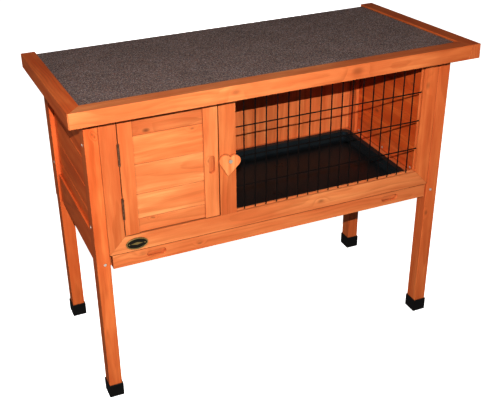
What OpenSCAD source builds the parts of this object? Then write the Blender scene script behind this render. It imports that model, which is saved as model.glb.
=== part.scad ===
/* [Legs and frame] */
// Width over the outer faces of the legs
leg_span_x = 920; // [860:1:960]
// Depth over the outer faces of the legs
leg_span_y = 408; // [400:1:420]
// Width of a leg, seen from the front
leg_w = 32; // [28:1:36]
// Depth of a leg, seen from the side
leg_d = 36; // [32:1:38]
// Height of the underside of the body above the ground
body_bottom = 371; // [300:1:420]
// Thickness of the front frame, the door stiles and the drawer front
frame_t = 17; // [16:0.5:18]
// Width of the upright stiles beside the front legs
stile_w = 39.5; // [36:0.5:44]
// Height of the rail under the door and the mesh
rail_h = 41.5; // [38:0.5:46]
// Left and right edges of the post between door and mesh
post_edges = [-153.3, -112];

/* [Roof] */
// Width over the roof trims
roof_w = 1000; // [996:1:1020]
// Slope of the roof, falling to the back
roof_tilt = 3.07; // [2:0.01:4]
// Length of the roof along its slope
roof_len = 491.2; // [488:0.1:500]
// Height of the lower back edge of the roof above the ground
roof_back_z = 730; // [720:1:760]
// Overhang of the roof beyond the front of the legs
front_overhang = 55.5; // [50:0.5:60]
// Height of the trims round the roof
trim_h = 35; // [32:1:40]
// Width of the side trims
side_trim_w = 35; // [33:1:36]
// Width of the front trim
front_trim_w = 42; // [38:1:46]

/* [Door] */
// Underside of the door above the ground
door_bottom = 451; // [450:0.5:454]
// Top of the door above the ground
door_top = 734; // [728:0.5:735]
// Heights of the joints between the boards
board_joints = [486.8, 548.6, 622.5, 691.6];
// Heights of the middles of the two hinges
hinge_heights = [521, 655];

/* [Turn button] */
// Pivot of the heart, across and up
heart_pivot = [-129, 590];
// Radius of the two lobes of the heart
lobe_r = 14.3; // [13:0.1:14.3]
// Lean of the heart's tip towards the door
heart_lean = 9; // [8:1:10]

/* [Mesh] */
// Distance between upright wires
wire_pitch = 28.3; // [24:0.1:34]
// Distance between level wires
row_pitch = 76.2; // [70:0.1:84]
// Diameter of a wire
wire_d = 2.8; // [2:0.1:3]

/* [Drawer] */
// Height of the drawer front
drawer_h = 35; // [32:1:35]
// Width of the drawer front
drawer_w = 844; // [838:1:850]
// Width of the tray over its rim
tray_w = 840; // [836:1:844]

/* [Hidden] */

$fn = 48;
LEFT = -1;
RIGHT = 1;
FRONT = -1;
BACK = 1;
// Larger than anything here, higher than the roof, and how far cuts run past a face
BIG = 2000;
ABOVE = 800;
OVER = 1;

// Colours
STAIN = [0.93, 0.52, 0.28];
PALE_STAIN = [0.97, 0.60, 0.36];
DARK_STAIN = [0.72, 0.33, 0.14];
FELT = [0.30, 0.27, 0.26];
BLACK = [0.06, 0.06, 0.06];
ZINC = [0.75, 0.75, 0.73];
HINGE_METAL = [0.30, 0.22, 0.16];
BRASS = [0.45, 0.36, 0.22];

// The box round the whole hutch is centred on the origin
roof_depth = roof_len * cos(roof_tilt) + trim_h * sin(roof_tilt);
roof_back_y = roof_depth / 2 - trim_h * sin(roof_tilt);
front_y = -roof_depth / 2 + front_overhang;
back_y = front_y + leg_span_y;
leg_in_x = leg_span_x / 2 - leg_w;
stile_in_x = leg_in_x - stile_w;

// Clearances
rest_gap = 0.5;
slide_gap = 0.5;

// Roof, across its thickness
board_low = 19;
board_t = 9;
felt_t = 2.2;
board_back = 10;
// Shares of the corner joints that show on the roof's front
left_seam = 2;
right_seam_top = 20;
right_seam_bottom = 33;
batten_w = 30;
batten_h = 16;
batten_x = 270;
// Distances of the battens' ends from the front trim and from the back edge
batten_in = [70, 75];

// Front frame
rail_low = 407.5;
rail_high = rail_low + rail_h;
top_rail_low = door_top + 3;
// Size of the eased edges along the joint between a front leg and its stile: how deep the
// cut is, and how far its middle lies beyond the piece it cuts
joint_cut = 1.5;
joint_off = 0.3;
// The mesh: how far behind the front it starts, its play, and how deep its wires cross
mesh_behind = 6.8;
mesh_play = 0.3;
mesh_cross = 0.85;
groove_depth = 10;
groove_side = 6;
groove_y = [front_y + mesh_behind, front_y + mesh_behind + 2 * mesh_play + (1 + mesh_cross) * wire_d];
groove_x = [post_edges[1] - groove_side, stile_in_x + groove_side];
groove_z = [rail_high - groove_depth, top_rail_low + groove_depth];
first_wire_x = -88;
middle_row_z = 587.5;

// Sides and back
side_rail_in = 438;
side_rail_t = 16;
side_rail_h = 79;
side_top_h = 60;
back_top_h = 42;
side_board_t = 9.5;
side_inner_cut = 1;
back_t = 10;
back_low = body_bottom + 2;
back_board_w = 92;
back_rail_t = 17;
v_cut = 2.2;

// Floor, runners and tray
floor_t = 5;
floor_low = body_bottom + 0.5;
floor_high = floor_low + floor_t;
tray_low = floor_high + slide_gap;
tray_high = 405;
tray_wall = 2;
tray_rim = 12;
tray_ledge = 8;
tray_ledge_z = 393;
tray_corner = 16;
tray_front = front_y + frame_t;
tray_behind = 8.7;
tray_back = back_y - tray_behind;
runner_in = 410;
runner_high = tray_high - tray_wall - slide_gap;

// Partition
partition_x = [-141, -131];
partition_low = 409;
partition_gap = 1.5;
pass_w = 150;
pass_low = 425;
pass_straight = 110;
pass_behind = 125;
pass_y = back_y - pass_behind;

// Door, with its hinge pins standing proud of the frame in the middle of the gap
door_gap = 2;
hinge_proud = 1;
hinge_x = -stile_in_x + door_gap / 2;
hinge_y = front_y - hinge_proud;
door_left = -stile_in_x + door_gap;
door_right = -155.7;
door_stile_left_w = 32.5;
door_stile_right_w = 34.7;
board_recess = 3;
door_board_t = 9;
board_ease = 1.2;
ledge_h = 34;
ledge_t = 8;
ledge_heights = [490, 695];
slot_w = 15;
slot_h = 46;
slot_depth = 8;
slot_x = -172;
slot_z = 586.5;

// Hinges
hinge_len = 52;
knuckle_r = 2.4;
knuckle_gap = 0.4;
pin_r = 1;
pin_play = 0.05;
leaf_t = 0.8;
leaf_w = 14;
leaf_apart = 0.2;
relief_r = 3;
// How far from the knuckles a leaf starts, and how far their tabs run into it
leaf_off = 0.5;
tab_in = 0.3;
tab_under = 0.02;
roof_hinge_x = 300;
roof_hinge_len = 50;
roof_knuckle_r = 3.5;
roof_pin_r = 1.5;
roof_leaf_t = 1.5;
roof_leaf_w = 26;
roof_hinge_behind = 4;
roof_hinge_under = 4;

// Heart
heart_t = 7;
heart_gap = 0.5;
lobe_x = 11.8;
lobe_z = 0.3;
tip_z = -37.7;
screw_r = 2;
screw_in = 14;
screw_play = 0.4;
screw_head_r = 4.4;
screw_head_t = 1.8;
// Length and width of the cross in a head: a share of the head's radius, and millimetres
screw_cross = [1.2, 0.8];

// Screws, pins and badge
leg_screw_r = 1.9;
leg_screw_head_r = 3.4;
leg_screw_head_t = 0.9;
leg_screw_len = 16;
leg_screw_in = 21.3;
leg_screw_heights = [481, 684];
front_screw_x = 441;
front_screw_z = 387;
rail_screw_len = 12;
rail_screw_z = 410;
rail_screw_y = [front_y + 94, front_y + 234, back_y - leg_d - 9];
badge_at = [-362, 426];
badge_size = [52, 29];
badge_t = 1.4;
badge_rim = 2.6;
badge_rim_t = 0.9;
badge_pin_in = 7;
badge_pin_r = 1.2;
badge_pin_len = 8;
badge_pin_head_r = 1.8;
badge_pin_head_t = 1;
cap_wall = 2.6;
cap_floor = 3;
cap_h = 36;
drawer_slot_x = 316;
drawer_slot_w = 48;
drawer_slot_h = 16;
drawer_slot_z = 390;
drawer_screw_x = [-300, 0, 300];
drawer_screw_z = 398;
drawer_screw_r = 1.6;
drawer_screw_bite = 10;
drawer_screw_len = tray_wall + tray_rim + drawer_screw_bite;
drawer_screw_head_r = 3;
drawer_screw_head_t = 0.8;

// A box between two corners
module box(low, high) {
    translate(low) cube(high - low);
}

// A profile in the XZ plane, extruded backwards from y
module plate_xz(y, t) {
    translate([0, y + t, 0]) rotate([90, 0, 0]) linear_extrude(t) children();
}

// A slot with round ends, wider or higher than it is round, cut straight back from y
module oblong(x, y, z, w, h, depth) {
    r = min(w, h) / 2;
    run = [w / 2 - r, h / 2 - r];
    half = w > h ? [run[0], r] : [r, run[1]];
    box([x - half[0], y, z - half[1]], [x + half[0], y + depth, z + half[1]]);
    for (s = [-1, 1])
        translate([x + s * run[0], y, z + s * run[1]]) rotate([-90, 0, 0]) cylinder(r = r, h = depth);
}

// The roof's own frame: its lower back edge is the origin, and it falls to the back
module on_roof() {
    translate([0, roof_back_y, roof_back_z]) rotate([-roof_tilt, 0, 0]) children();
}

// Everything lower than the underside of the roof board, less a gap
module below_roof(gap) {
    on_roof() translate([-BIG / 2, -BIG / 2, board_low - gap - BIG]) cube([BIG, BIG, BIG]);
}

// A square-edged V cut along an edge or a joint, through the origin along Z
module v_groove(depth, len) {
    rotate([0, 0, 45]) translate([-depth / sqrt(2), -depth / sqrt(2), 0])
        cube([depth * sqrt(2), depth * sqrt(2), len]);
}

// A cross-head screw whose head rests on the plane z = 0 and whose shank goes down
module screw(r, len, head_r, head_t) {
    cross = [screw_cross[0] * head_r, screw_cross[1]];
    difference() {
        union() {
            translate([0, 0, -len]) cylinder(r = r, h = len);
            cylinder(r = head_r, h = head_t);
        }
        for (a = [0, 90])
            rotate([0, 0, a]) translate([-cross[0] / 2, -cross[1] / 2, head_t / 2])
                cube([cross[0], cross[1], head_t]);
    }
}

// ---- legs and caps ----

// The cut along the joint between a front leg and its stile
module front_joint(side, beyond) {
    translate([side * (leg_in_x + beyond), front_y, cap_h]) v_groove(joint_cut, ABOVE);
}

// Low corner of a leg
function leg_corner(side, end) = [
    side == LEFT ? -leg_span_x / 2 : leg_in_x,
    end == FRONT ? front_y : back_y - leg_d,
    0
];

module leg_block(side, end, low) {
    translate(leg_corner(side, end) + [0, 0, low]) cube([leg_w, leg_d, ABOVE - low]);
}

module leg(side, end) {
    color(STAIN) difference() {
        intersection() {
            leg_block(side, end, cap_floor);
            below_roof(rest_gap);
        }
        leg_screw_places() translate([0, 0, -leg_screw_len]) cylinder(r = leg_screw_r, h = leg_screw_len);
        if (end == FRONT) front_joint(side, -joint_off);
    }
}

module cap(side, end) {
    color(BLACK) translate(leg_corner(side, end)) difference() {
        translate([-cap_wall, -cap_wall, 0])
            cube([leg_w + 2 * cap_wall, leg_d + 2 * cap_wall, cap_h]);
        translate([0, 0, cap_floor]) cube([leg_w, leg_d, cap_h]);
    }
}

// Every screw in the legs: two in each outer side face, one low in each front face
module leg_screw_places() {
    for (side = [LEFT, RIGHT]) {
        for (y = [front_y + leg_screw_in, back_y - leg_screw_in], z = leg_screw_heights)
            translate([side * leg_span_x / 2, y, z]) rotate([0, side * 90, 0]) children();
        translate([side * front_screw_x, front_y, front_screw_z]) rotate([90, 0, 0]) children();
    }
}

module leg_screws() {
    color(ZINC) leg_screw_places() screw(leg_screw_r, leg_screw_len, leg_screw_head_r, leg_screw_head_t);
}

// Screws from inside the body into the lower side rails
module rail_screw_places() {
    for (side = [LEFT, RIGHT], y = rail_screw_y)
        translate([side * side_rail_in, y, rail_screw_z]) rotate([0, -side * 90, 0]) children();
}

module rail_screws() {
    color(ZINC) rail_screw_places() screw(leg_screw_r, rail_screw_len, leg_screw_head_r, leg_screw_head_t);
}

// ---- front frame ----

// The groove round the mesh opening
module mesh_groove() {
    box([groove_x[0], groove_y[0], groove_z[0]], [groove_x[1], groove_y[1], groove_z[1]]);
}

// An upright stile, mitred at its foot
module stile(side) {
    color(STAIN) difference() {
        intersection() {
            plate_xz(front_y, frame_t) polygon([
                [side * leg_in_x, rail_low], [side * leg_in_x, ABOVE],
                [side * stile_in_x, ABOVE], [side * stile_in_x, rail_high]
            ]);
            below_roof(rest_gap);
        }
        front_joint(side, joint_off);
        if (side == RIGHT) mesh_groove();
        if (side == LEFT) door_hinge_relief();
    }
}

module rail_bottom() {
    color(STAIN) difference() {
        plate_xz(front_y, frame_t) polygon([
            [-leg_in_x, rail_low], [leg_in_x, rail_low], [stile_in_x, rail_high], [-stile_in_x, rail_high]
        ]);
        mesh_groove();
        badge_pin_places() cylinder(r = badge_pin_r, h = badge_pin_len);
    }
}

module rail_top() {
    color(STAIN) difference() {
        intersection() {
            box([-stile_in_x, front_y, top_rail_low], [stile_in_x, front_y + frame_t, ABOVE]);
            below_roof(rest_gap);
        }
        mesh_groove();
    }
}

module post() {
    color(STAIN) difference() {
        box([post_edges[0], front_y, rail_high], [post_edges[1], front_y + frame_t, top_rail_low]);
        mesh_groove();
        translate([heart_pivot[0], front_y, heart_pivot[1]]) rotate([-90, 0, 0])
            cylinder(r = screw_r, h = screw_in);
    }
}

module wire_mesh() {
    upright_y = groove_y[0] + mesh_play + wire_d / 2;
    level_y = upright_y + mesh_cross * wire_d;
    color(BLACK) {
        for (x = [first_wire_x - wire_pitch : wire_pitch : groove_x[1] - wire_d])
            translate([x, upright_y, groove_z[0]])
                cylinder(d = wire_d, h = groove_z[1] - groove_z[0], $fn = 16);
        for (i = [-1 : 2])
            translate([groove_x[0], level_y, middle_row_z + i * row_pitch])
                rotate([0, 90, 0]) cylinder(d = wire_d, h = groove_x[1] - groove_x[0], $fn = 16);
    }
}

function ellipse(w, h, n) = [for (i = [0 : n - 1]) [w / 2 * cos(360 * i / n), h / 2 * sin(360 * i / n)]];

module badge() {
    color(BRASS) difference() {
        plate_xz(front_y - badge_t - badge_rim_t, badge_t + badge_rim_t)
            translate(badge_at) polygon(ellipse(badge_size[0], badge_size[1], 48));
        plate_xz(front_y - badge_t - 2 * badge_rim_t, 2 * badge_rim_t) translate(badge_at)
            polygon(ellipse(badge_size[0] - 2 * badge_rim, badge_size[1] - 2 * badge_rim, 48));
    }
}

module badge_pin_places() {
    for (s = [-1, 1])
        translate([badge_at[0] + s * (badge_size[0] / 2 - badge_pin_in), front_y, badge_at[1]])
            rotate([-90, 0, 0]) children();
}

module badge_pins() {
    color(BRASS) badge_pin_places() {
        cylinder(r = badge_pin_r, h = badge_pin_len);
        translate([0, 0, -badge_t - badge_pin_head_t]) cylinder(r = badge_pin_head_r, h = badge_pin_head_t);
    }
}

// ---- sides and back ----

module side_rail_bottom(side) {
    x = [side_rail_in, side_rail_in + side_rail_t];
    color(STAIN) difference() {
        box([min(side * x), front_y + leg_d, body_bottom],
            [max(side * x), back_y - leg_d, body_bottom + side_rail_h]);
        rail_screw_places() translate([0, 0, -rail_screw_len]) cylinder(r = leg_screw_r, h = rail_screw_len);
    }
}

module side_rail_top(side) {
    x = [side_rail_in, side_rail_in + side_rail_t];
    color(STAIN) difference() {
        intersection() {
            box([min(side * x), front_y + leg_d, body_bottom], [max(side * x), back_y - leg_d, ABOVE]);
            below_roof(rest_gap);
        }
        below_roof(rest_gap + side_top_h);
    }
}

// Level boards between the side rails, with a V cut along each joint, shallow inside
module side_boards(side) {
    outer = side * (side_rail_in + side_board_t);
    x = [side * side_rail_in, outer];
    color(STAIN) difference() {
        intersection() {
            box([min(x), front_y + leg_d, body_bottom + side_rail_h], [max(x), back_y - leg_d, ABOVE]);
            below_roof(rest_gap + side_top_h);
        }
        for (z = board_joints) {
            translate([outer, front_y, z]) rotate([-90, 0, 0]) v_groove(v_cut, leg_span_y);
            translate([side * side_rail_in, front_y, z]) rotate([-90, 0, 0])
                v_groove(side_inner_cut, leg_span_y);
        }
    }
}

// Upright boards on the backs of the legs, with a V cut along each joint
module back_panel() {
    color(STAIN) difference() {
        intersection() {
            box([-leg_span_x / 2, back_y, back_low], [leg_span_x / 2, back_y + back_t, ABOVE]);
            below_roof(rest_gap + 2 * roof_leaf_t);
        }
        for (x = [-leg_span_x / 2 + back_board_w : back_board_w : leg_span_x / 2 - v_cut])
            translate([x, back_y + back_t, 0]) v_groove(v_cut, ABOVE);
    }
}

module back_rail_bottom() {
    color(STAIN) box([-leg_in_x, back_y - back_rail_t, floor_high], [leg_in_x, back_y, runner_high]);
}

module back_rail_block() {
    difference() {
        intersection() {
            box([-leg_in_x, back_y - back_rail_t, body_bottom], [leg_in_x, back_y, ABOVE]);
            below_roof(rest_gap + 2 * roof_leaf_t);
        }
        below_roof(rest_gap + back_top_h);
    }
}

module back_rail_top() {
    color(STAIN) back_rail_block();
}

// The wall between nest and run, with an arched way through
module partition() {
    color(STAIN) difference() {
        intersection() {
            box([partition_x[0], front_y + frame_t, partition_low], [partition_x[1], back_y, ABOVE]);
            below_roof(partition_gap);
        }
        back_rail_block();
        translate([partition_x[0] - OVER, pass_y - pass_w / 2, pass_low])
            cube([partition_x[1] - partition_x[0] + 2 * OVER, pass_w, pass_straight]);
        translate([partition_x[0] - OVER, pass_y, pass_low + pass_straight]) rotate([0, 90, 0])
            cylinder(d = pass_w, h = partition_x[1] - partition_x[0] + 2 * OVER, $fn = 96);
    }
}

module floor_board() {
    color(DARK_STAIN) difference() {
        box([-side_rail_in, tray_front + slide_gap, floor_low], [side_rail_in, back_y, floor_high]);
        for (side = [LEFT, RIGHT], end = [FRONT, BACK]) leg_block(side, end, cap_floor);
    }
}

module runner(side) {
    x = [runner_in, side_rail_in];
    color(DARK_STAIN)
        box([min(side * x), front_y + leg_d, floor_high], [max(side * x), back_y - leg_d, runner_high]);
}

// ---- hinges ----

// Strips that join the knuckles to the leaf, which lies between x = a and x = b
module knuckle_tabs(a, b, reach, len, middle) {
    third = len / 3;
    if (middle)
        box([a, 0, -third / 2], [b, reach, third / 2]);
    else
        for (s = [-1, 1])
            box([a, 0, min(s * (third / 2 + knuckle_gap), s * len / 2)],
                [b, reach, max(s * (third / 2 + knuckle_gap), s * len / 2)]);
}

// A door hinge leaf, standing about its pin; side is LEFT for the frame's leaf
module door_leaf(z, side) {
    a = side == LEFT ? -leaf_t - leaf_apart : leaf_apart;
    middle = side == RIGHT;
    color(HINGE_METAL) translate([hinge_x, hinge_y, z]) {
        difference() {
            union() {
                hinge_barrel(knuckle_r, hinge_len, middle);
                knuckle_tabs(a, a + leaf_t, knuckle_r + leaf_off + tab_in, hinge_len, middle);
                box([a, knuckle_r + leaf_off, -hinge_len / 2],
                    [a + leaf_t, hinge_proud + leaf_w, hinge_len / 2]);
            }
            if (middle) translate([0, 0, -hinge_len / 2]) cylinder(r = pin_r + pin_play, h = hinge_len);
        }
        if (!middle) translate([0, 0, -hinge_len / 2]) cylinder(r = pin_r, h = hinge_len);
    }
}

// The round part of a leaf: one middle knuckle, or two outer ones
module hinge_barrel(r, len, middle) {
    third = len / 3;
    if (middle)
        translate([0, 0, -third / 2]) cylinder(r = r, h = third);
    else
        for (z = [-len / 2, third / 2 + knuckle_gap])
            translate([0, 0, z]) cylinder(r = r, h = third - knuckle_gap);
}

// Room for the door hinges in the wood on both sides
module door_hinge_relief() {
    for (z = hinge_heights)
        translate([hinge_x, hinge_y, z - hinge_len / 2 - rest_gap])
            cylinder(r = relief_r, h = hinge_len + 2 * rest_gap);
}

// Height above the roof's lower face, and place along it, of the roof hinges' pins
roof_pin_z = board_low - roof_hinge_under;
roof_pin_world_y = back_y + back_t + roof_hinge_behind;
roof_pin_y = (roof_pin_world_y - roof_back_y - roof_pin_z * sin(roof_tilt)) / cos(roof_tilt);
roof_pin_world_z = roof_back_z - roof_pin_y * sin(roof_tilt) + roof_pin_z * cos(roof_tilt);

// The leaf under the roof board, with the middle knuckle
module roof_leaf(side) {
    color(HINGE_METAL) on_roof() translate([side * roof_hinge_x, roof_pin_y, roof_pin_z]) difference() {
        union() {
            rotate([0, 90, 0]) hinge_barrel(roof_knuckle_r, roof_hinge_len, true);
            box([-roof_hinge_len / 6, -roof_knuckle_r - leaf_off - tab_in, roof_hinge_under - roof_leaf_t],
                [roof_hinge_len / 6, 0, roof_hinge_under - tab_under]);
            box([-roof_hinge_len / 2, -roof_knuckle_r - roof_leaf_w, roof_hinge_under - roof_leaf_t],
                [roof_hinge_len / 2, -roof_knuckle_r - leaf_off, roof_hinge_under]);
        }
        translate([-roof_hinge_len / 2, 0, 0]) rotate([0, 90, 0])
            cylinder(r = roof_pin_r + pin_play, h = roof_hinge_len);
    }
}

// The leaf on the back panel, with the outer knuckles and the pin
module roof_frame_leaf(side) {
    half = roof_hinge_len / 2;
    from = roof_hinge_len / 6 + knuckle_gap;
    y = [-roof_hinge_behind, roof_leaf_t - roof_hinge_behind];
    color(HINGE_METAL) translate([side * roof_hinge_x, roof_pin_world_y, roof_pin_world_z]) {
        rotate([0, 90, 0]) hinge_barrel(roof_knuckle_r, roof_hinge_len, false);
        translate([-half, 0, 0]) rotate([0, 90, 0]) cylinder(r = roof_pin_r, h = roof_hinge_len);
        for (x = [[-half, -from], [from, half]])
            box([x[0], y[0], -roof_knuckle_r - leaf_off - tab_in], [x[1], y[1], 0]);
        box([-half, y[0], -roof_knuckle_r - roof_leaf_w], [half, y[1], -roof_knuckle_r - leaf_off]);
    }
}

// ---- roof ----

inner_x = roof_w / 2 - side_trim_w;
inner_front = -roof_len + front_trim_w;

// Half space beyond the seam at a front corner. The seam starts at the inner corner and
// meets the front face at out_top on top and at out_bottom underneath.
module seam_space(side, out_top, out_bottom) {
    run = [roof_w / 2 - out_top - inner_x, -front_trim_w];
    shift = (out_bottom - out_top) * front_trim_w / norm(run);
    mirror([side == LEFT ? 1 : 0, 0, 0])
        translate([inner_x, inner_front, trim_h])
            rotate([0, 0, atan2(run[1], run[0])])
                rotate([-atan2(shift, trim_h), 0, 0])
                    translate([-BIG / 2, 0, -BIG / 2]) cube([BIG, BIG, BIG]);
}

module trim_front() {
    color(STAIN) on_roof() difference() {
        box([-roof_w / 2, -roof_len, 0], [roof_w / 2, inner_front, trim_h]);
        seam_space(LEFT, left_seam, left_seam);
        seam_space(RIGHT, right_seam_top, right_seam_bottom);
    }
}

module trim_side(side) {
    color(STAIN) on_roof() {
        box([side == LEFT ? -roof_w / 2 : inner_x, inner_front, 0],
            [side == LEFT ? -inner_x : roof_w / 2, 0, trim_h]);
        intersection() {
            box([-roof_w / 2, -roof_len, 0], [roof_w / 2, inner_front, trim_h]);
            if (side == LEFT) seam_space(LEFT, left_seam, left_seam);
            else seam_space(RIGHT, right_seam_top, right_seam_bottom);
        }
    }
}

module roof_board() {
    color(STAIN) on_roof()
        box([-inner_x, inner_front, board_low], [inner_x, -board_back, board_low + board_t]);
}

// Mineral felt over the board, turned down behind its back edge
module roof_felt() {
    high = board_low + board_t;
    color(FELT) on_roof() {
        box([-inner_x, inner_front, high], [inner_x, -board_back + felt_t, high + felt_t]);
        box([-inner_x, -board_back, board_low], [inner_x, -board_back + felt_t, high + felt_t]);
    }
}

module roof_batten(side) {
    color(STAIN) on_roof() translate([side * batten_x - batten_w / 2, 0, board_low - batten_h])
        box([0, inner_front + batten_in[0], 0], [batten_w, -batten_in[1], batten_h]);
}

// ---- door ----

module door_stile(side) {
    left = side == LEFT ? door_left : door_right - door_stile_right_w;
    right = side == LEFT ? door_left + door_stile_left_w : door_right;
    color(STAIN) difference() {
        box([left, front_y, door_bottom], [right, front_y + frame_t, door_top]);
        if (side == LEFT) door_hinge_relief();
        if (side == RIGHT) oblong(slot_x, front_y - OVER, slot_z, slot_w, slot_h, slot_depth + OVER);
    }
}

// One level board of the door, with its front edges eased along each joint
module door_board(i) {
    low = i == 0 ? door_bottom : board_joints[i - 1];
    high = i == len(board_joints) ? door_top : board_joints[i];
    x = [door_left + door_stile_left_w, door_right - door_stile_right_w];
    y = [front_y + board_recess, front_y + board_recess + door_board_t];
    color(STAIN) translate([x[0], 0, 0]) rotate([90, 0, 90]) linear_extrude(x[1] - x[0]) polygon([
        [y[0] + board_ease, low], [y[1], low], [y[1], high], [y[0] + board_ease, high],
        [y[0], high - board_ease], [y[0], low + board_ease]
    ]);
}

module door_ledge(z) {
    color(STAIN) box([door_left + door_stile_left_w, front_y + board_recess + door_board_t, z - ledge_h / 2],
        [door_right - door_stile_right_w, front_y + board_recess + door_board_t + ledge_t, z + ledge_h / 2]);
}

// ---- turn button ----

// The heart's outline about its pivot: two round lobes and straight sides to the tip
module heart_outline() {
    reach = norm([lobe_x, lobe_z - tip_z]);
    to_lobe = atan2(lobe_z - tip_z, lobe_x);
    to_side = to_lobe - asin(lobe_r / reach);
    side_len = sqrt(reach * reach - lobe_r * lobe_r);
    touch = [side_len * cos(to_side), tip_z + side_len * sin(to_side)];
    for (s = [-1, 1])
        translate([s * lobe_x, lobe_z]) circle(r = lobe_r);
    polygon([
        [0, tip_z], touch, [lobe_x, lobe_z],
        [0, lobe_z + lobe_r / 2], [-lobe_x, lobe_z], [-touch[0], touch[1]]
    ]);
}

module turn_button() {
    color(PALE_STAIN) translate([heart_pivot[0], 0, heart_pivot[1]]) difference() {
        plate_xz(front_y - heart_gap - heart_t, heart_t) rotate(-heart_lean) heart_outline();
        translate([0, front_y, 0]) rotate([90, 0, 0]) cylinder(r = screw_r + pin_play, h = 2 * heart_t);
    }
}

module button_screw() {
    color(ZINC) translate([heart_pivot[0], front_y, heart_pivot[1]]) rotate([90, 0, 0]) {
        head_z = heart_gap + heart_t + screw_play;
        translate([0, 0, head_z]) screw(screw_r, screw_in + head_z, screw_head_r, screw_head_t);
    }
}

// ---- drawer ----

module drawer_front() {
    color(STAIN) difference() {
        box([-drawer_w / 2, front_y, body_bottom], [drawer_w / 2, front_y + frame_t, body_bottom + drawer_h]);
        for (side = [LEFT, RIGHT])
            oblong(side * drawer_slot_x, front_y - OVER, drawer_slot_z, drawer_slot_w, drawer_slot_h,
                slot_depth + OVER);
        drawer_screw_places() cylinder(r = drawer_screw_r, h = drawer_screw_len);
    }
}

// A slab with round corners, centred on x = 0
module rounded_slab(w, y0, y1, z0, z1, r) {
    box([-w / 2 + r, y0, z0], [w / 2 - r, y1, z1]);
    box([-w / 2, y0 + r, z0], [w / 2, y1 - r, z1]);
    for (x = [-w / 2 + r, w / 2 - r], y = [y0 + r, y1 - r])
        translate([x, y, z0]) cylinder(r = r, h = z1 - z0);
}

// The tray's hollow, or its outside when grown by the wall: wide above a ledge, narrower below
module tray_pan(grow, bottom, top) {
    in = tray_rim + tray_wall - grow;
    r = tray_corner - tray_wall + grow / 2;
    rounded_slab(tray_w - 2 * in, tray_front + in, tray_back - in, tray_ledge_z - grow, top, r);
    low_in = in + tray_ledge;
    rounded_slab(tray_w - 2 * low_in, tray_front + low_in, tray_back - low_in, bottom, tray_ledge_z, r);
}

// The pull-out tray: a pan with a ledge inside and a flange all round
module tray() {
    color(BLACK) difference() {
        union() {
            rounded_slab(tray_w, tray_front, tray_back, tray_high - tray_wall, tray_high, tray_corner);
            tray_pan(tray_wall, tray_low, tray_high);
        }
        tray_pan(0, tray_low + tray_wall, tray_high + OVER);
        drawer_screw_places() cylinder(r = drawer_screw_r, h = drawer_screw_len);
    }
}

// Each screw starts at the inner face of the tray's front wall and runs forward
module drawer_screw_places() {
    for (x = drawer_screw_x)
        translate([x, tray_front + tray_rim + tray_wall, drawer_screw_z]) rotate([90, 0, 0]) children();
}

module drawer_screws() {
    color(ZINC) drawer_screw_places() {
        cylinder(r = drawer_screw_r, h = drawer_screw_len);
        translate([0, 0, -drawer_screw_head_t]) cylinder(r = drawer_screw_head_r, h = drawer_screw_head_t);
    }
}

leg(LEFT, FRONT);  // leg_front_left
leg(RIGHT, FRONT);  // leg_front_right
leg(LEFT, BACK);  // leg_back_left
leg(RIGHT, BACK);  // leg_back_right
cap(LEFT, FRONT);  // cap_front_left
cap(RIGHT, FRONT);  // cap_front_right
cap(LEFT, BACK);  // cap_back_left
cap(RIGHT, BACK);  // cap_back_right
stile(LEFT);  // stile_left
stile(RIGHT);  // stile_right
rail_bottom();
rail_top();
post();
wire_mesh();
badge();
badge_pins();
side_rail_bottom(LEFT);  // side_rail_bottom_left
side_rail_bottom(RIGHT);  // side_rail_bottom_right
side_rail_top(LEFT);  // side_rail_top_left
side_rail_top(RIGHT);  // side_rail_top_right
side_boards(LEFT);  // side_boards_left
side_boards(RIGHT);  // side_boards_right
back_panel();
back_rail_bottom();
back_rail_top();
partition();
floor_board();
runner(LEFT);  // runner_left
runner(RIGHT);  // runner_right
leg_screws();
rail_screws();
button_screw();
door_leaf(hinge_heights[0], LEFT);  // door_hinge_frame_leaf_lower
door_leaf(hinge_heights[1], LEFT);  // door_hinge_frame_leaf_upper
roof_frame_leaf(LEFT);  // roof_hinge_frame_leaf_left
roof_frame_leaf(RIGHT);  // roof_hinge_frame_leaf_right
roof_board();
roof_felt();
trim_front();
trim_side(LEFT);  // trim_left
trim_side(RIGHT);  // trim_right
roof_batten(LEFT);  // roof_batten_left
roof_batten(RIGHT);  // roof_batten_right
roof_leaf(LEFT);  // roof_hinge_leaf_left
roof_leaf(RIGHT);  // roof_hinge_leaf_right
door_stile(LEFT);  // door_stile_left
door_stile(RIGHT);  // door_stile_right
door_board(0);  // door_board_1
door_board(1);  // door_board_2
door_board(2);  // door_board_3
door_board(3);  // door_board_4
door_board(4);  // door_board_5
door_ledge(ledge_heights[0]);  // door_ledge_lower
door_ledge(ledge_heights[1]);  // door_ledge_upper
door_leaf(hinge_heights[0], RIGHT);  // door_hinge_leaf_lower
door_leaf(hinge_heights[1], RIGHT);  // door_hinge_leaf_upper
turn_button();
drawer_front();
tray();
drawer_screws();
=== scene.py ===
"""Rabbit hutch: materials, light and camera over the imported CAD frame."""
import math

import bpy
from mathutils import Matrix, Vector


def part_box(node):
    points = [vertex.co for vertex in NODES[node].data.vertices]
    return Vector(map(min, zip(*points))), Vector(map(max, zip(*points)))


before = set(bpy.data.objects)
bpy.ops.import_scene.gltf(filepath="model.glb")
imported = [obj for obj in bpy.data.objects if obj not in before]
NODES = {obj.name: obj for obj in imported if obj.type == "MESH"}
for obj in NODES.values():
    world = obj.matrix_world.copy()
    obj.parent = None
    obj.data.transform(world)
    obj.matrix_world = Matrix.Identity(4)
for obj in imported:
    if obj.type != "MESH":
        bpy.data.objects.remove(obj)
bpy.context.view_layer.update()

# Lengths are in metres, but for the lens. Colours are linear red, green and blue.

# ---------------------------------------------------------------- camera

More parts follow.
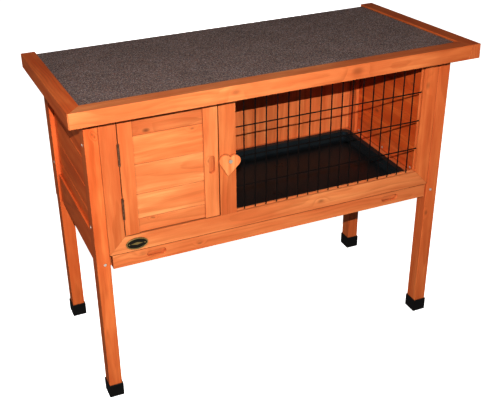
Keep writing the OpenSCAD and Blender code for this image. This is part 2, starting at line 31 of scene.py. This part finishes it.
# Where the camera stands, which way it looks in degrees, its lens and sensor in millimetres
# and how far the picture is shifted, as shares of its width
CAMERA_AT = (-0.8096, -1.8271, 1.4575)
CAMERA_YAW = 22.0
CAMERA_PITCH = 28.83
CAMERA_ROLL = -1.29
CAMERA_LENS = 61.87
CAMERA_SENSOR = 36
CAMERA_SHIFT = (0.0553, 0.003)


def look_axes(yaw, pitch, roll):
    """Right, up and forward of a camera that yaws right, pitches down and rolls, in degrees."""
    yaw, pitch, roll = (math.radians(a) for a in (yaw, pitch, roll))
    ahead = math.cos(pitch)
    forward = Vector((math.sin(yaw) * ahead, math.cos(yaw) * ahead, -math.sin(pitch)))
    level = Vector((math.cos(yaw), -math.sin(yaw), 0))
    upright = level.cross(forward)
    right = math.cos(roll) * level + math.sin(roll) * upright
    return right, right.cross(forward), forward


def place(obj, at, axes):
    """Adds a camera or light to the scene at a point, looking along the third axis."""
    right, up, forward = axes
    turn = Matrix((right, up, -forward)).transposed()
    obj.matrix_world = Matrix.Translation(at) @ turn.to_4x4()
    bpy.context.scene.collection.objects.link(obj)


def add_camera():
    data = bpy.data.cameras.new("camera")
    data.sensor_width = CAMERA_SENSOR
    data.lens = CAMERA_LENS
    data.shift_x, data.shift_y = CAMERA_SHIFT
    camera = bpy.data.objects.new("camera", data)
    place(camera, CAMERA_AT, look_axes(CAMERA_YAW, CAMERA_PITCH, CAMERA_ROLL))
    bpy.context.scene.camera = camera


# ---------------------------------------------------------------- light

# The small lamp just above the camera: its watts, how far above and how wide it is
KEY_WATTS = 57
KEY_RISE = 0.112
KEY_SIZE = 0.004

# The soft lamps: where each one stands, how wide it is and its watts. The right and back ones
# stand lower than the roof, so they don't light its top.
SOFT_LAMPS = {
    "fill_front": ((1.2, -2.6, 2.6), 2.2, 3),
    "fill_left": ((-3.0, -0.8, 1.2), 1.6, 12),
    "fill_right": ((3.4, 0.7, 0.35), 0.7, 18),
    "fill_back": ((1.0, 3.2, 0.3), 0.8, 30),
}

# The point that all lamps face
LAMP_TARGET = (0, 0, 0.5)

# How bright the room is as a light and as a backdrop, and the contrast of the picture
ROOM_LIGHT = 0.11
BACKDROP = 0.9
DISPLAY_GAMMA = 0.8


def aim(at, target):
    """Axes of a light at one point that faces another."""
    forward = (Vector(target) - Vector(at)).normalized()
    right = forward.cross(Vector((0, 0, 1))).normalized()
    return right, right.cross(forward), forward


def add_lamp(name, at, size, watts):
    data = bpy.data.lights.new(name, "AREA")
    data.shape = "DISK"
    data.size = size
    data.energy = watts
    place(bpy.data.objects.new(name, data), at, aim(at, LAMP_TARGET))


def add_room():
    """A white room that is dimmer as a light than it looks behind the object."""
    world = bpy.data.worlds.new("studio")
    world.use_nodes = True
    nodes, links = world.node_tree.nodes, world.node_tree.links
    background = nodes["Background"]
    background.inputs["Color"].default_value = (1, 1, 1, 1)
    seen = nodes.new("ShaderNodeLightPath").outputs["Is Camera Ray"]
    dim = nodes.new("ShaderNodeMapRange")
    dim.inputs["To Min"].default_value = ROOM_LIGHT
    dim.inputs["To Max"].default_value = BACKDROP
    links.new(seen, dim.inputs["Value"])
    links.new(dim.outputs["Result"], background.inputs["Strength"])
    bpy.context.scene.world = world


def add_light():
    x, y, z = CAMERA_AT
    add_lamp("key", (x, y, z + KEY_RISE), KEY_SIZE, KEY_WATTS)
    for name, (at, size, watts) in SOFT_LAMPS.items():
        add_lamp(name, at, size, watts)
    add_room()
    bpy.context.scene.view_settings.view_transform = "Standard"
    bpy.context.scene.view_settings.gamma = DISPLAY_GAMMA


# ---------------------------------------------------------------- node trees


class Tree:
    """A material's node tree, built from short calls. A value is a number, a colour or a socket."""

    def __init__(self, name):
        self.material = bpy.data.materials.new(name)
        self.material.use_nodes = True
        self.nodes = self.material.node_tree.nodes
        self.links = self.material.node_tree.links
        self.shader = self.nodes["Principled BSDF"]
        self.where = self.node("TexCoord").outputs["Object"]

    def put(self, socket, value):
        if isinstance(value, bpy.types.NodeSocket):
            self.links.new(value, socket)
        elif value is not None:
            socket.default_value = value

    def node(self, kind, inputs=(), **settings):
        made = self.nodes.new("ShaderNode" + kind)
        for key, value in settings.items():
            setattr(made, key, value)
        for key, value in dict(inputs).items():
            self.put(made.inputs[key], value)
        return made

    def calc(self, operation, a, b=None, c=None):
        made = self.node("Math", {0: a, 1: b, 2: c}, operation=operation)
        return made.outputs[0]

    def vector_calc(self, operation, a, b=None, c=None):
        made = self.node("VectorMath", {0: a, 1: b, 2: c}, operation=operation)
        return made.outputs["Value" if operation == "LENGTH" else "Vector"]

    def product(self, first, *others):
        """The numbers multiplied together."""
        for other in others:
            first = self.calc("MULTIPLY", first, other)
        return first

    def split(self, vector):
        """The X, Y and Z of a vector."""
        return self.node("SeparateXYZ", {"Vector": vector}).outputs

    def noise(self, vector, scale, detail=2.0, rough=0.5):
        inputs = {"Vector": vector, "Scale": scale, "Detail": detail, "Roughness": rough}
        return self.node("TexNoise", inputs).outputs["Fac"]

    def span(self, value, low, high, to_low=0.0, to_high=1.0, smooth=False):
        """value from low..high mapped to to_low..to_high, and held at the ends."""
        made = self.node("MapRange", interpolation_type="SMOOTHSTEP" if smooth else "LINEAR")
        for i, number in enumerate((value, low, high, to_low, to_high)):
            self.put(made.inputs[i], number)
        return made.outputs[0]

    def mix(self, share, a, b, blend="MIX"):
        made = self.node("Mix", data_type="RGBA", blend_type=blend, clamp_factor=True)
        self.put(made.inputs[0], share)
        self.put(made.inputs[6], (*a, 1) if isinstance(a, tuple) else a)
        self.put(made.inputs[7], (*b, 1) if isinstance(b, tuple) else b)
        return made.outputs[2]

    def tinted(self, colour, shade):
        """colour times a grey level."""
        grey = self.node("CombineColor", {"Red": shade, "Green": shade, "Blue": shade})
        return self.mix(1.0, colour, grey.outputs[0], "MULTIPLY")

    def bump(self, height, distance, strength, normal=None):
        inputs = {"Height": height, "Distance": distance, "Strength": strength, "Normal": normal}
        return self.node("Bump", inputs).outputs[0]

    def finish(self, colour, roughness, normal=None, **numbers):
        """Joins up the shader. numbers are set on the sockets of those names."""
        self.put(self.shader.inputs["Base Color"], colour)
        self.put(self.shader.inputs["Roughness"], roughness)
        self.put(self.shader.inputs["Normal"], normal)
        for key, number in numbers.items():
            self.shader.inputs[key.replace("_", " ")].default_value = number
        return self.material


# ---------------------------------------------------------------- wood

# Stained fir: its pale early wood, its dark late wood, its reddest patches, its palest
# streaks and its knots
EARLY = (0.80, 0.285, 0.104)
LATE = (0.50, 0.122, 0.030)
BLUSH = (0.76, 0.215, 0.070)
STRAW = (0.93, 0.41, 0.162)
KNOT = (0.16, 0.050, 0.022)

# How much of its depth the stain takes from red, green and blue
STAIN_SHARES = (0, 1, 1.6)

# The axis along each grain, then the other two
GRAIN_AXES = {"X": (0, 1, 2), "Y": (1, 0, 2), "Z": (2, 0, 1)}

# Patterns drawn out along the grain: the share of a length along it that counts, the scale,
# how many finer layers there are and how strong those are
WANDER = (0.25, 9.0, 2.0, 0.5)
WAVES = (0.12, 60.0, 2.0, 0.5)
CONTRAST = (0.3, 20.0, 2.0, 0.5)
STREAKS = (0.07, 62.0, 3.0, 0.6)
PATCHES = (0.3, 16.0, 3.0, 0.55)
FIBRES = (0.03, 800.0, 3.0, 0.7)
PORES = (0.03, 380.0, 2.0, 0.6)

# How deep the grain's relief is
RELIEF = 0.00025

# Thickness of a year's growth in single pieces and in the boards of walls, and how many
# years the waves in it move it
RING = 0.0068
BOARD_RING = 0.019
RIPPLE = 0.7

# The pith: its least depth behind a node's middle, how far piths differ from node to node,
# how far one wanders along its node and how steeply it may lean
PITH_DEPTH = 0.035
PITH_SPREAD = 0.05
PITH_WANDER = 0.05
PITH_LEAN = 0.06

# How many years' growth bends round a knot, how many radii away that ends, the share of a
# length along the grain that counts, which makes knots oval, and, in radii, how wavy a knot's
# edge is, how far out it is darkest and where it ends
KNOT_SWELL = 1.4
KNOT_REACH = 4.5
KNOT_SQUEEZE = 0.6
KNOT_WAVES = 0.8
KNOT_CORE = 0.5
KNOT_RIM = 2.0

# Width of a board of the back, how near a joint it is darkest and where that ends, and how
# dark it is there
BACK_BOARD = 0.092
JOINT_EDGE = (0.0008, 0.003)
JOINT_SHADE = 0.92

# How far apart in the figure boards of a wall are taken, how far their piths lie apart
# sideways, and their darkest and lightest tone
BOARDS_APART = 3.0
PITHS_APART = 0.5
BOARD_TONES = (0.92, 1.06)

# Painted shade from ambient occlusion in corners and joints: how far it reaches, and how dark it makes
# them
CREVICE = 0.0045
CREVICE_PAINTED_SHADE = 0.55

# Depth of a finger slot, how far behind the face its painted shade starts, and how dark the painted
# shade makes its floor
SLOT_DEPTH = 0.008
SLOT_START = 0.002
SLOT_PAINTED_SHADE = 0.82

# Seed of the first wooden node and the step from one to the next, and what a seed is
# multiplied by to give a figure its place and a pith its side, depth and lean
FIRST_SEED = 3.1
SEED_STEP = 1.7
FIGURE_STEPS = (7.31, 4.19, 2.53)
PITH_STEPS = (0.37, 0.61, 0.83)

# Each wooden node: its grain, its tone, how deep its red is and its rounded edge
WOODWORK = {
    "leg_front_left": ("Z", 0.97, 0.24, 0.0022),
    "leg_front_right": ("Z", 1.0, 0.2, 0.0022),
    "leg_back_left": ("Z", 1.0, 0.28, 0.0022),
    "leg_back_right": ("Z", 0.98, 0.2, 0.0022),
    "stile_left": ("Z", 0.87, 0.12, 0.0022),
    "stile_right": ("Z", 0.98, 0.22, 0.0022),
    "post": ("Z", 0.88, 0.12, 0.0015),
    "door_stile_left": ("Z", 0.95, 0.1, 0.002),
    "door_stile_right": ("Z", 1.03, -0.02, 0.0015),
    "rail_bottom": ("X", 1.0, 0.0, 0.0018),
    "rail_top": ("X", 0.98, 0.08, 0.0018),
    "drawer_front": ("X", 1.0, 0.05, 0.0018),
    "trim_front": ("X", 0.99, 0.02, 0.001),
    "trim_left": ("Y", 0.97, 0.32, 0.001),
    "trim_right": ("Y", 0.8, 0.32, 0.001),
    "door_board_1": ("X", 1.02, -0.04, 0.0005),
    "door_board_2": ("X", 1.06, -0.06, 0.0005),
    "door_board_3": ("X", 1.07, -0.08, 0.0005),
    "door_board_4": ("X", 1.0, 0.08, 0.0005),
    "door_board_5": ("X", 0.83, 0.02, 0.0005),
    "door_ledge_lower": ("X", 0.95, 0.0, 0.0013),
    "door_ledge_upper": ("X", 0.95, 0.0, 0.0013),
    "side_rail_bottom_left": ("Y", 1.0, 0.32, 0.0014),
    "side_rail_bottom_right": ("Y", 1.0, 0.35, 0.0014),
    "side_rail_top_left": ("Y", 1.0, 0.32, 0.0014),
    "side_rail_top_right": ("Y", 1.0, 0.35, 0.0014),
    "side_boards_left": ("Y", 1.0, 0.36, 0.0004),
    "side_boards_right": ("Y", 1.08, 0.42, 0.0004),
    "back_panel": ("Z", 1.0, 0.10, 0.0004),
    "back_rail_bottom": ("X", 0.95, 0.12, 0.0013),
    "back_rail_top": ("X", 0.95, 0.12, 0.0013),
    "partition": ("Y", 0.95, 0.12, 0.0013),
    "floor_board": ("X", 0.92, 0.12, 0.0009),
    "runner_left": ("Y", 0.92, 0.12, 0.0013),
    "runner_right": ("Y", 0.92, 0.12, 0.0013),
    "roof_board": ("X", 0.95, 0.12, 0.0009),
    "roof_batten_left": ("Y", 0.95, 0.12, 0.0013),
    "roof_batten_right": ("Y", 0.95, 0.12, 0.0013),
    "turn_button": ("Z", 1.1, -0.08, 0.0014),
}

# Knots that show, each as shares of its node's box along X, Y and Z, a radius and how dark it is
KNOTS = {
    "leg_front_left": [(0.58, 0, 0.925, 0.0022, 0.4), (0.76, 0, 0.915, 0.002, 0.3)],
    "leg_front_right": [(0.23, 0, 0.41, 0.0035, 0.4)],
    "stile_right": [(0.32, 0, 0.757, 0.0055, 0.3)],
    "door_stile_right": [(0.30, 0, 0.519, 0.0028, 0.35)],
    "rail_bottom": [(0.634, 0, 0.467, 0.0042, 0.36)],
    "drawer_front": [(0.253, 0, 0.46, 0.003, 0.42), (0.085, 0, 0.7, 0.005, 0.22)],
    "trim_front": [(0.373, 0, 0.6, 0.006, 0.34), (0.678, 0, 0.6, 0.007, 0.34)],
    "door_board_1": [(0.205, 0, 0.9, 0.002, 0.45), (0.228, 0, 0.86, 0.0018, 0.4)],
    "door_board_4": [(0.848, 0, 0.9, 0.0026, 0.42)],
    "door_board_5": [(0.197, 0, 0.2, 0.0042, 0.7)],
    "side_boards_right": [(0, 0.71, 0.22, 0.005, 0.45), (0, 0.234, 0.74, 0.005, 0.4)],
}

# The nodes with finger slots, whose floors get painted shade
SLOTTED = ("door_stile_right", "drawer_front")

# Tone and depth of red of the side trims' front ends, which continue the front trim, how far
# in the change starts and ends, and the tone and depth of red of the front trim's right end
TRIM_ENDS = (0.9, 0.1)
TRIM_END_FROM = 0.005
TRIM_END_TO = 0.002
TRIM_RIGHT_END = (0.8, 0.26)


def spread(seed, steps):
    """Numbers from 0 to 1 that look unrelated, one for each step, from one seed."""
    return [seed * step % 1.0 for step in steps]


def stained(colour, tone, deep):
    """A wood's colour, lightened or darkened by tone and reddened by deep."""
    return tuple(level * tone * (1 - share * deep) for level, share in zip(colour, STAIN_SHARES))


class WoodTree(Tree):
    """The tree of one wooden node: where a point lies in it, and patterns along its grain."""

    def __init__(self, node, grain, seed):
        super().__init__("wood_" + node)
        self.grain = grain
        self.seed = seed
        self.low, self.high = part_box(node)
        self.at = self.split(self.where)
        self.along, self.across, self.through = (
            self.calc("SUBTRACT", self.at[i], (self.low[i] + self.high[i]) / 2)
            for i in GRAIN_AXES[grain])
        self.sample = self.vector_calc("ADD", self.where, spread(seed, FIGURE_STEPS))

    def squeezed(self, vector, share):
        """vector shortened along the grain, so that what is drawn from it is longer there."""
        scale = [share if axis == self.grain else 1.0 for axis in "XYZ"]
        return self.vector_calc("MULTIPLY", vector, scale)

    def figure(self, share, scale, detail, rough):
        """Noise that is the more drawn out along the grain, the smaller share is."""
        return self.noise(self.squeezed(self.sample, share), scale, detail, rough)

    def take_boards(self, joints):
        """Gives each board of a wall a figure of its own. Returns the tone of the boards, which
        is darker beside the joints."""
        board = self.seed
        gap = BACK_BOARD
        for joint in joints:
            board = self.calc("ADD", board, self.calc("GREATER_THAN", self.at[0], joint))
            away = self.calc("ABSOLUTE", self.calc("SUBTRACT", self.at[0], joint))
            gap = self.calc("MINIMUM", gap, away)
        own = self.node("TexWhiteNoise", {"W": board}, noise_dimensions="1D").outputs
        shift = self.calc("SUBTRACT", own["Value"], 0.5)
        apart = [BOARDS_APART] * 3
        self.sample = self.vector_calc("MULTIPLY_ADD", own["Color"], apart, self.sample)
        self.across = self.calc("MULTIPLY_ADD", shift, PITHS_APART, self.across)
        tone = self.span(own["Value"], 0.0, 1.0, *BOARD_TONES)
        return self.product(tone, self.span(gap, *JOINT_EDGE, JOINT_SHADE, 1.0))

    def rings(self, thickness, waves):
        """How many years' growth there is from the pith, which lies behind the face."""
        side, depth, lean = spread(self.seed, PITH_STEPS)
        sideways = PITH_SPREAD * (side - 0.5)
        behind = PITH_DEPTH + PITH_SPREAD * depth
        pith_across, pith_through = (sideways, behind) if self.grain == "Z" else (behind, sideways)
        a = self.calc("SUBTRACT", self.across, pith_across + PITH_WANDER / 2)
        a = self.calc("MULTIPLY_ADD", self.figure(*WANDER), PITH_WANDER, a)
        b = self.calc("SUBTRACT", self.through, pith_through)
        b = self.calc("MULTIPLY_ADD", self.along, PITH_LEAN * (lean - 0.5), b)
        radius = self.vector_calc("LENGTH", self.node("CombineXYZ", {"X": a, "Y": b}).outputs[0])
        years = self.calc("DIVIDE", radius, thickness)
        return self.calc("MULTIPLY_ADD", waves, RIPPLE, years)

    def knot(self, place, radius, years, waves):
        """Swells the rings round a knot. Returns them, and how far from its middle each point
        is, with a wavy edge."""
        middle = [low + share * (high - low) for share, low, high in zip(place, self.low, self.high)]
        offset = self.squeezed(self.vector_calc("SUBTRACT", self.where, middle), KNOT_SQUEEZE)
        away = self.vector_calc("LENGTH", offset)
        swell = self.span(away, 0.0, radius * KNOT_REACH, 1.0, 0.0, smooth=True)
        years = self.calc("MULTIPLY_ADD", swell, KNOT_SWELL, years)
        return years, self.calc("MULTIPLY_ADD", waves, radius * KNOT_WAVES, away)

    def late_wood(self, years):
        """Early wood darkens slowly to a thin line of late wood, then starts afresh."""
        phase = self.calc("FRACT", years)
        rise = self.span(phase, 0.3, 0.88, smooth=True)
        fall = self.span(phase, 0.92, 1.0, 1.0, 0.0, smooth=True)
        contrast = self.span(self.figure(*CONTRAST), 0.35, 0.7, 0.08, 0.42)
        return self.product(rise, fall, contrast)


def wood(node, grain, seed, tone, deep, knots, joints, sunk, turn):
    """Stained softwood for one node. tone lightens or darkens it and deep reddens it. Each
    knot is its place as shares of the node's box, its radius and how dark it is. joints is
    None but for a wall of boards, where it lists the X at which one board ends and the next
    starts, and an empty list leaves the wall one figure. sunk says that the node has finger
    slots, whose floors get painted shade, darker than its face. turn is None, or says that
    tone and deep change along an axis: the axis, where that starts and ends, and the new two."""
    t = WoodTree(node, grain, seed)
    shades = []
    if joints is not None:
        shades.append(t.take_boards(joints))

    # Growth rings and knots
    waves = t.figure(*WAVES)
    years = t.rings(RING if joints is None else BOARD_RING, waves)
    dark = 0.0
    for *place_in_box, radius, strength in knots:
        years, away = t.knot(place_in_box, radius, years, waves)
        core = t.span(away, radius * KNOT_CORE, radius * KNOT_RIM, strength, 0.0, smooth=True)
        dark = t.calc("MAXIMUM", dark, core)
    late = t.late_wood(years)

    # Streaks and patches where the stain took more or less, fibres and pores
    streak = t.figure(*STREAKS)
    patch = t.figure(*PATCHES)
    fibre = t.figure(*FIBRES)
    pores = t.span(t.figure(*PORES), 0.66, 0.78)
    early, blush, straw, darkest = (stained(c, tone, deep) for c in (EARLY, BLUSH, STRAW, LATE))
    colour = t.mix(t.span(streak, 0.5, 0.72, 0.0, 0.8), early, straw)
    colour = t.mix(t.span(patch, 0.42, 0.66, 0.0, 0.75), colour, blush)
    colour = t.mix(t.span(streak, 0.47, 0.30, 0.0, 0.7), colour, blush)
    colour = t.mix(late, colour, darkest)

    # Light and shade of the stain, darker in pores, with painted shade in corners, joints and finger
    # slots
    shade = t.calc("ADD", t.span(patch, 0.3, 0.7, 1.05, 0.93), t.span(fibre, 0.25, 0.75, -0.05, 0.05))
    shade = t.calc("MULTIPLY_ADD", pores, -0.14, shade)
    # painted shade: ambient occlusion darkens the colour in corners and joints
    painted_occlusion = t.node("AmbientOcclusion", {"Distance": CREVICE}, samples=6).outputs["AO"]
    shades.append(t.span(painted_occlusion, 0.35, 0.95, CREVICE_PAINTED_SHADE, 1.0))
    # painted shade on the floors of finger slots, darker the deeper they lie behind the face
    if sunk:
        front = t.low[1]
        shades.append(t.span(t.at[1], front + SLOT_START, front + SLOT_DEPTH, 1.0, SLOT_PAINTED_SHADE))
    colour = t.tinted(colour, t.product(shade, *shades))
    if turn:
        axis, start, end, *turned = turn
        before, after = (stained((1, 1, 1), *stain) for stain in ((tone, deep), turned))
        gain = tuple(new / old for new, old in zip(after, before))
        colour = t.mix(t.span(t.at[axis], start, end), colour, gain, "MULTIPLY")
    if knots:
        colour = t.mix(dark, colour, KNOT)

    height = t.calc("MULTIPLY_ADD", pores, -0.6, t.product(late, 0.9))
    height = t.calc("MULTIPLY_ADD", fibre, 0.5, height)
    roughness = t.calc("MULTIPLY_ADD", late, -0.12, t.span(fibre, 0.2, 0.8, 0.45, 0.58))
    return t.finish(colour, roughness, t.bump(height, RELIEF, 0.6), Specular_IOR_Level=0.18)


def board_joints(name):
    """The X where the boards of the back meet. The boards of a side share one figure."""
    if name == "back_panel":
        low, high = (corner[0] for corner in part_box(name))
        return [low + BACK_BOARD * i for i in range(1, int((high - low) / BACK_BOARD) + 1)]
    return [] if name.startswith("side_boards") else None


def trim_turn(name):
    """How the roof trims change tone: the side ones at their front, the front one to the right."""
    low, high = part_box(name)
    if name in ("trim_left", "trim_right"):
        return (1, low[1] + TRIM_END_FROM, low[1] + TRIM_END_TO, *TRIM_ENDS)
    if name == "trim_front":
        return (0, 0.0, high[0], *TRIM_RIGHT_END)
    return None


# ---------------------------------------------------------------- other materials

# The felt's granules: how many there are to a metre, and the darkest and palest usual one
GRANULES = 640.0
FELT_DARK = (0.100, 0.065, 0.058)
FELT_PALE = (0.470, 0.335, 0.295)

# The felt's rarer granules: a channel of their random colour, where in it they start, and
# their own colour
RARE_GRANULES = (
    ("Green", 0.90, (0.30, 0.13, 0.09)),
    ("Blue", 0.92, (0.15, 0.15, 0.19)),
    ("Red", 0.93, (0.52, 0.46, 0.42)),
)

# The tray's black, its bluish shine, the thickness of its floor, how many times paler painted light
# makes its walls, and the height above the floor over which that comes in
TRAY_BLACK = (0.0085, 0.0115, 0.013)
TRAY_SHEEN = (0.2, 0.45, 0.7, 1)
TRAY_FLOOR = 0.004
TRAY_WALL_PAINTED_LIGHT = 1.7
TRAY_WALL_FADE = 0.004

CAP_BLACK = (0.009, 0.0075, 0.007)
DUST = (0.4, 0.36, 0.32)

# Each metal's colour, and that of its stains and worn spots
HINGE_STEEL = ((0.17, 0.085, 0.045), (0.42, 0.25, 0.16))
ZINC = ((0.72, 0.69, 0.63), (0.42, 0.37, 0.31))
DULL_ZINC = ((0.56, 0.51, 0.44), (0.30, 0.24, 0.18))

# The badge's dark field and its brass, how far behind its front the brass of its rim starts to
# end and has ended, and half the width and height of its lozenge
BADGE_FIELD = (0.018, 0.016, 0.010)
BRASS = (0.55, 0.40, 0.15)
RIM_DEPTH = (0.0003, 0.0006)
LOZENGE = (0.016, 0.0035)

# The darkest and palest of the black coating on the wire
WIRE_COAT = ((0.004, 0.003, 0.003), (0.012, 0.008, 0.007))

# The floor's two greys, how much light it gives off, how wide it is and where its middle is
FLOOR_GREYS = ((0.86, 0.86, 0.86), (0.88, 0.88, 0.88))
FLOOR_GLOW = 0.93
FLOOR_SIZE = 14
FLOOR_AT = (0, 1.5, 0)


def felt():
    """Bitumen felt with mineral granules: brownish grey, with a few red, pale and bluish ones."""
    t = Tree("mineral_felt")
    grains = t.node("TexVoronoi", {"Vector": t.where, "Scale": GRANULES}, feature="F1")
    pick = t.node("SeparateColor", {"Color": grains.outputs["Color"]}).outputs
    colour = t.mix(pick["Red"], FELT_DARK, FELT_PALE)
    for channel, start, tint in RARE_GRANULES:
        colour = t.mix(t.span(pick[channel], start, start + 0.01), colour, tint)
    mottle = t.span(t.noise(t.where, 260.0, 3.0, 0.7), 0.3, 0.7, -0.42, 0.42)
    cloud = t.span(t.noise(t.where, 14.0, 3.0), 0.3, 0.7, 0.9, 1.08)
    swell = t.bump(t.noise(t.where, 9.0), 0.003, 0.5)
    dome = t.span(grains.outputs["Distance"], 0.0, 0.7, 1.0, 0.0)
    roughness = t.span(pick["Blue"], 0, 1, 0.7, 0.95)
    return t.finish(t.tinted(colour, t.calc("ADD", mottle, cloud)), roughness,
                    t.bump(dome, 0.0008, 0.8, swell), Specular_IOR_Level=0.25)


def plastic(name, colour, rough, grain_size, depth, specular, sheen=(1, 1, 1, 1), walls=None):
    """Black moulded plastic with a fine texture, a little dusty and uneven in gloss. walls is
    the height above which painted light makes it paler, and how many times paler."""
    t = Tree(name)
    fine = t.noise(t.where, grain_size, 2.0, 0.6)
    smear = t.noise(t.where, 11.0, 4.0, 0.6)
    dust = t.span(t.noise(t.where, 1600.0, 1.0), 0.68, 0.74)
    rubbed = tuple(c * 1.7 + 0.002 for c in colour)
    tint = t.mix(t.span(smear, 0.3, 0.75), colour, rubbed)
    # painted light: above the given height the colour is made paler, as if lit
    if walls:
        start, times = walls
        height = t.split(t.where)["Z"]
        tint = t.tinted(tint, t.span(height, start, start + TRAY_WALL_FADE, 1.0, times, smooth=True))
    tint = t.mix(t.product(dust, 0.05), tint, DUST)
    roughness = t.span(smear, 0.25, 0.75, rough - 0.05, rough + 0.1)
    roughness = t.calc("MULTIPLY_ADD", fine, 0.06, roughness)
    return t.finish(tint, roughness, t.bump(fine, depth, 0.5), Specular_IOR_Level=specular,
                    Specular_Tint=sheen)


def metal(name, colours, rough, metallic, wear):
    """Metal with fine brushing, stains and worn spots."""
    t = Tree(name)
    drawn = t.node("Mapping", {"Vector": t.where, "Scale": (1, 1, 0.06)}).outputs[0]
    brushed = t.noise(drawn, 2600.0)
    stain = t.noise(t.where, 150.0, 4.0, 0.65)
    tint = t.mix(t.product(t.span(stain, 0.45, 0.7), wear), *colours)
    roughness = t.span(stain, 0.3, 0.7, rough - 0.06, rough + 0.12)
    roughness = t.calc("MULTIPLY_ADD", brushed, 0.08, roughness)
    return t.finish(tint, roughness, t.bump(brushed, 0.00005, 0.5), Metallic=metallic)


def antique_badge():
    """A dark oval field inside a raised rim of worn brass, with a plain lozenge across it."""
    t = Tree("badge_brass")
    low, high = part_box("badge")
    at = t.split(t.where)
    wide, tall = (t.calc("ABSOLUTE", t.calc("SUBTRACT", at[i], (low[i] + high[i]) / 2)) for i in (0, 2))
    lozenge = t.calc("MULTIPLY_ADD", wide, 1 / LOZENGE[0], t.calc("DIVIDE", tall, LOZENGE[1]))
    raised = t.span(at[1], *(low[1] + depth for depth in RIM_DEPTH), 1.0, 0.0)
    worn = t.noise(t.where, 900.0, 3.0, 0.7)
    gilt = t.calc("MAXIMUM", raised, t.span(lozenge, 0.9, 1.1, 0.9, 0.0))
    gilt = t.product(gilt, t.span(worn, 0.3, 0.6, 0.45, 1.0))
    t.put(t.shader.inputs["Metallic"], t.product(gilt, 0.7))
    return t.finish(t.mix(gilt, BADGE_FIELD, BRASS), t.span(worn, 0.2, 0.8, 0.34, 0.55),
                    t.bump(t.calc("MAXIMUM", gilt, worn), 0.0001, 0.6))


def wire_coat():
    """Black coating on the welded wire, with small lumps and a soft shine."""
    t = Tree("black_wire")
    lumps = t.noise(t.where, 420.0, 3.0, 0.6)
    tint = t.mix(t.span(lumps, 0.3, 0.7), *WIRE_COAT)
    return t.finish(tint, t.span(lumps, 0.2, 0.8, 0.42, 0.6), t.bump(lumps, 0.0002, 0.6),
                    Specular_IOR_Level=0.25)


def pale_floor():
    t = Tree("floor")
    colour = t.mix(t.noise(t.where, 2.0, 3.0), *FLOOR_GREYS)
    return t.finish(colour, roughness=0.8, Emission_Color=(1, 1, 1, 1), Emission_Strength=FLOOR_GLOW)


# ---------------------------------------------------------------- dressing the nodes

# Points closer than this are joined before edges are rounded, and faces that turn less than
# this many degrees are made one
WELD_WITHIN = 0.00001
FLAT_WITHIN = 0.5

# Edges that turn more than this many degrees are rounded, in this many steps
EDGE_TURN = 30
EDGE_STEPS = 3

# Rounded edges of what isn't wood
TRAY_EDGE = 0.0012
CAP_EDGE = 0.0015
SMALL_EDGE = 0.0003


def ease_edges(obj, width):
    """Rounds the sharp edges of a node, over faces that are whole."""
    obj.modifiers.new("weld", "WELD").merge_threshold = WELD_WITHIN
    flat = obj.modifiers.new("whole_faces", "DECIMATE")
    flat.decimate_type = "DISSOLVE"
    flat.angle_limit = math.radians(FLAT_WITHIN)
    bevel = obj.modifiers.new("eased_edges", "BEVEL")
    bevel.width = width
    bevel.segments = EDGE_STEPS
    bevel.limit_method = "ANGLE"
    bevel.angle_limit = math.radians(EDGE_TURN)
    bevel.use_clamp_overlap = True
    bevel.harden_normals = True


def dress(names, material, edge=0.0):
    """Gives CAD nodes a material and, where edge isn't 0, edges rounded by that much."""
    for name in names:
        obj = NODES[name]
        obj.data.materials.clear()
        obj.data.materials.append(material)
        if edge:
            ease_edges(obj, edge)


def hinge_leaves(kind, places):
    """The names of all leaves of one kind of hinge."""
    return [f"{kind}_hinge_{leaf}_{place}" for leaf in ("frame_leaf", "leaf") for place in places]


def dress_wood():
    for i, (name, (grain, tone, deep, edge)) in enumerate(WOODWORK.items()):
        made = wood(name, grain, FIRST_SEED + SEED_STEP * i, tone, deep, KNOTS.get(name, []),
                    board_joints(name), name in SLOTTED, trim_turn(name))
        dress([name], made, edge)


def dress_plastic():
    # the tray's walls get painted light above its floor
    walls = (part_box("tray")[0][2] + TRAY_FLOOR, TRAY_WALL_PAINTED_LIGHT)
    smooth = plastic("tray_plastic", TRAY_BLACK, rough=0.27, grain_size=700.0, depth=0.0001,
                     specular=0.45, sheen=TRAY_SHEEN, walls=walls)
    matt = plastic("cap_plastic", CAP_BLACK, rough=0.5, grain_size=1500.0, depth=0.0003,
                   specular=0.35)
    caps = [f"cap_{end}_{side}" for end in ("front", "back") for side in ("left", "right")]
    dress(["tray"], smooth, TRAY_EDGE)
    dress(caps, matt, CAP_EDGE)


def dress_metal():
    dress(["wire_mesh"], wire_coat())
    hinge = metal("hinge_steel", HINGE_STEEL, rough=0.45, metallic=0.4, wear=0.6)
    bright = metal("zinc", ZINC, rough=0.4, metallic=0.3, wear=0.2)
    dull = metal("dull_zinc", DULL_ZINC, rough=0.5, metallic=0.3, wear=0.2)
    dress(hinge_leaves("door", ("lower", "upper")), hinge)
    dress(hinge_leaves("roof", ("left", "right")), hinge)
    dress(["leg_screws"], bright, SMALL_EDGE)
    dress(["rail_screws", "drawer_screws", "button_screw"], dull, SMALL_EDGE)
    dress(["badge", "badge_pins"], antique_badge(), SMALL_EDGE)


def add_floor():
    bpy.ops.mesh.primitive_grid_add(x_subdivisions=8, y_subdivisions=8, size=FLOOR_SIZE,
                                    location=FLOOR_AT)
    floor = bpy.context.object
    floor.name = "floor"
    floor.data.materials.append(pale_floor())
    floor.visible_diffuse = False
    floor.visible_glossy = False


add_camera()
add_light()
add_floor()
dress_wood()
dress(["roof_felt"], felt())
dress_plastic()
dress_metal()
